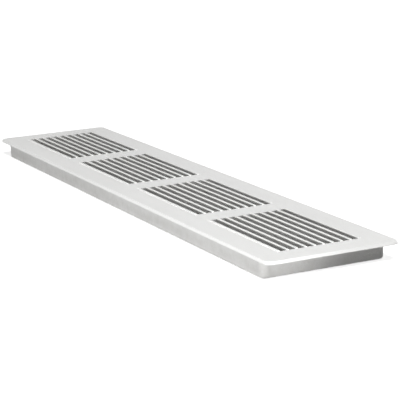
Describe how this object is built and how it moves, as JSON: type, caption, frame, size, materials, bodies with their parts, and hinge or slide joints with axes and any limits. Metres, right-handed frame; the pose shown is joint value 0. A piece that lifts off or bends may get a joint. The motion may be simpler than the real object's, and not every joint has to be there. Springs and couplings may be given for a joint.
{
  "type": "ventilation grille",
  "caption": "Long recessed ventilation grille: a flat plate with a bevelled rim, windows of fixed louvre slats and a shallow open collar underneath.",
  "frame": {"origin": "centre of the collar's lower edge, so the grille lies on its collar with its face up", "axes": "+X along the grille, +Y across it towards the side that the blades' feet lean to, +Z out of its face"},
  "size_m": [0.457, 0.092, 0.014],
  "materials": {
    "white_plastic": "satin"
  },
  "bodies": {
    "root": {"grille": "white_plastic"}
  },
  "joints": []
}
